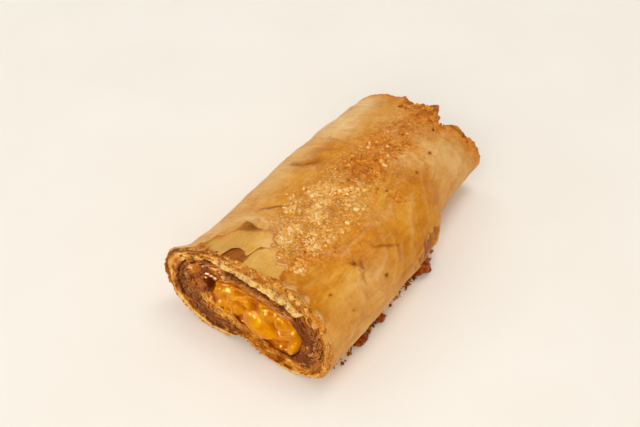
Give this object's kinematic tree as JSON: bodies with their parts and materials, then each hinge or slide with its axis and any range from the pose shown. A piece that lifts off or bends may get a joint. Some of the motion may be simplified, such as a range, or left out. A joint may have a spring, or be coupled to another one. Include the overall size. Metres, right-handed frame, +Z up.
{
  "type": "fruit strudel",
  "caption": "Flattened roll of baked filo pastry, cut across at one end to show fruit filling and crumb, with coarse sugar on its crown.",
  "frame": {"origin": "under the middle of the strudel, on the surface it lies on", "axes": "+X across the roll, to the right as seen from the cut end; +Y along the roll, from the cut end to the torn end; +Z up"},
  "size_m": [0.079, 0.1348, 0.0397],
  "materials": {
    "filo": "baked filo pastry, satin and flaky, golden with caramel patches",
    "fruit": "stewed fruit in jelly, wet and translucent",
    "crumb": "dry crumbly pastry, matt",
    "syrup": "caramelised fruit syrup, hard and glossy"
  },
  "bodies": {
    "root": {"filo_roll": "filo", "fruit_filling": "fruit", "crumb_layer": "crumb", "leaked_syrup_1": "syrup", "leaked_syrup_2": "syrup", "leaked_syrup_3": "syrup"}
  },
  "joints": []
}
